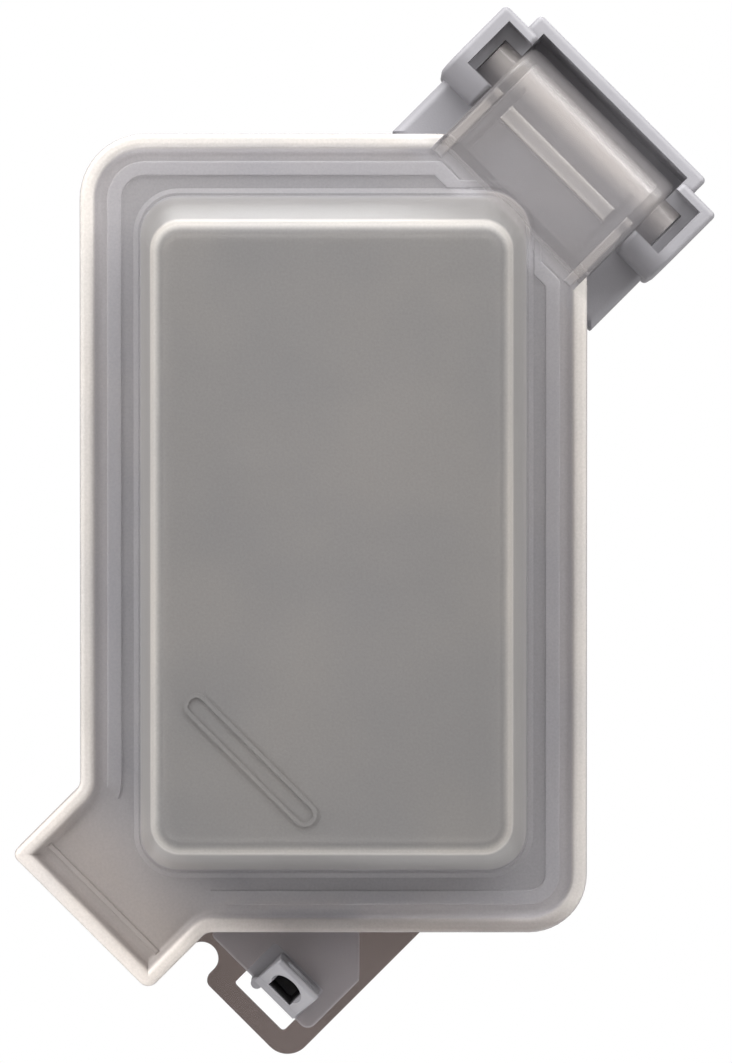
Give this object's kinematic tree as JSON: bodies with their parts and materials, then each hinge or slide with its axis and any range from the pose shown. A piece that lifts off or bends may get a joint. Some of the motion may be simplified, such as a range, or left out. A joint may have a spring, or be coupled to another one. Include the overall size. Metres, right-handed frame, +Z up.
{
  "type": "weatherproof in-use outlet cover",
  "caption": "One-gang weatherproof while-in-use outlet cover: frosted bubble lid on a 45 degree corner hinge, grey base, cord hood and padlock tab.",
  "frame": {"origin": "centre of the four wall-screw holes, on the wall face of the foam gasket", "axes": "+Z up the wall along the longer side, +X to the right seen from the front, -Y out from the wall towards the viewer"},
  "size_m": [0.14, 0.0744, 0.2105],
  "materials": {
    "frosted_lid": "fine frosted, translucent",
    "base_grey": "fine moulded satin",
    "insert_grey": "fine moulded satin",
    "foam": "closed-cell foam",
    "zinc_steel": "zinc plated",
    "seal_rubber": "smooth rubber",
    "fibre": "pressed fibre"
  },
  "bodies": {
    "base": {"base_housing": "base_grey", "wall_gasket": "foam", "device_insert": "insert_grey", "insert_gasket": "foam", "mounting_screw_upper": "zinc_steel", "mounting_screw_lower": "zinc_steel", "sealing_washer_upper": "seal_rubber", "sealing_washer_lower": "seal_rubber", "captive_washer_upper": "fibre", "captive_washer_lower": "fibre", "cord_port_web_left": "base_grey", "cord_port_web_right": "base_grey"},
    "lid": {"lid": "frosted_lid"}
  },
  "joints": [
    {"name": "lid_hinge", "type": "hinge", "parent": "base", "child": "lid", "pos_m": [0.04922, -0.0194, 0.07835], "axis": [-0.7071, 0, 0.7071], "range_deg": [0, 105]}
  ]
}
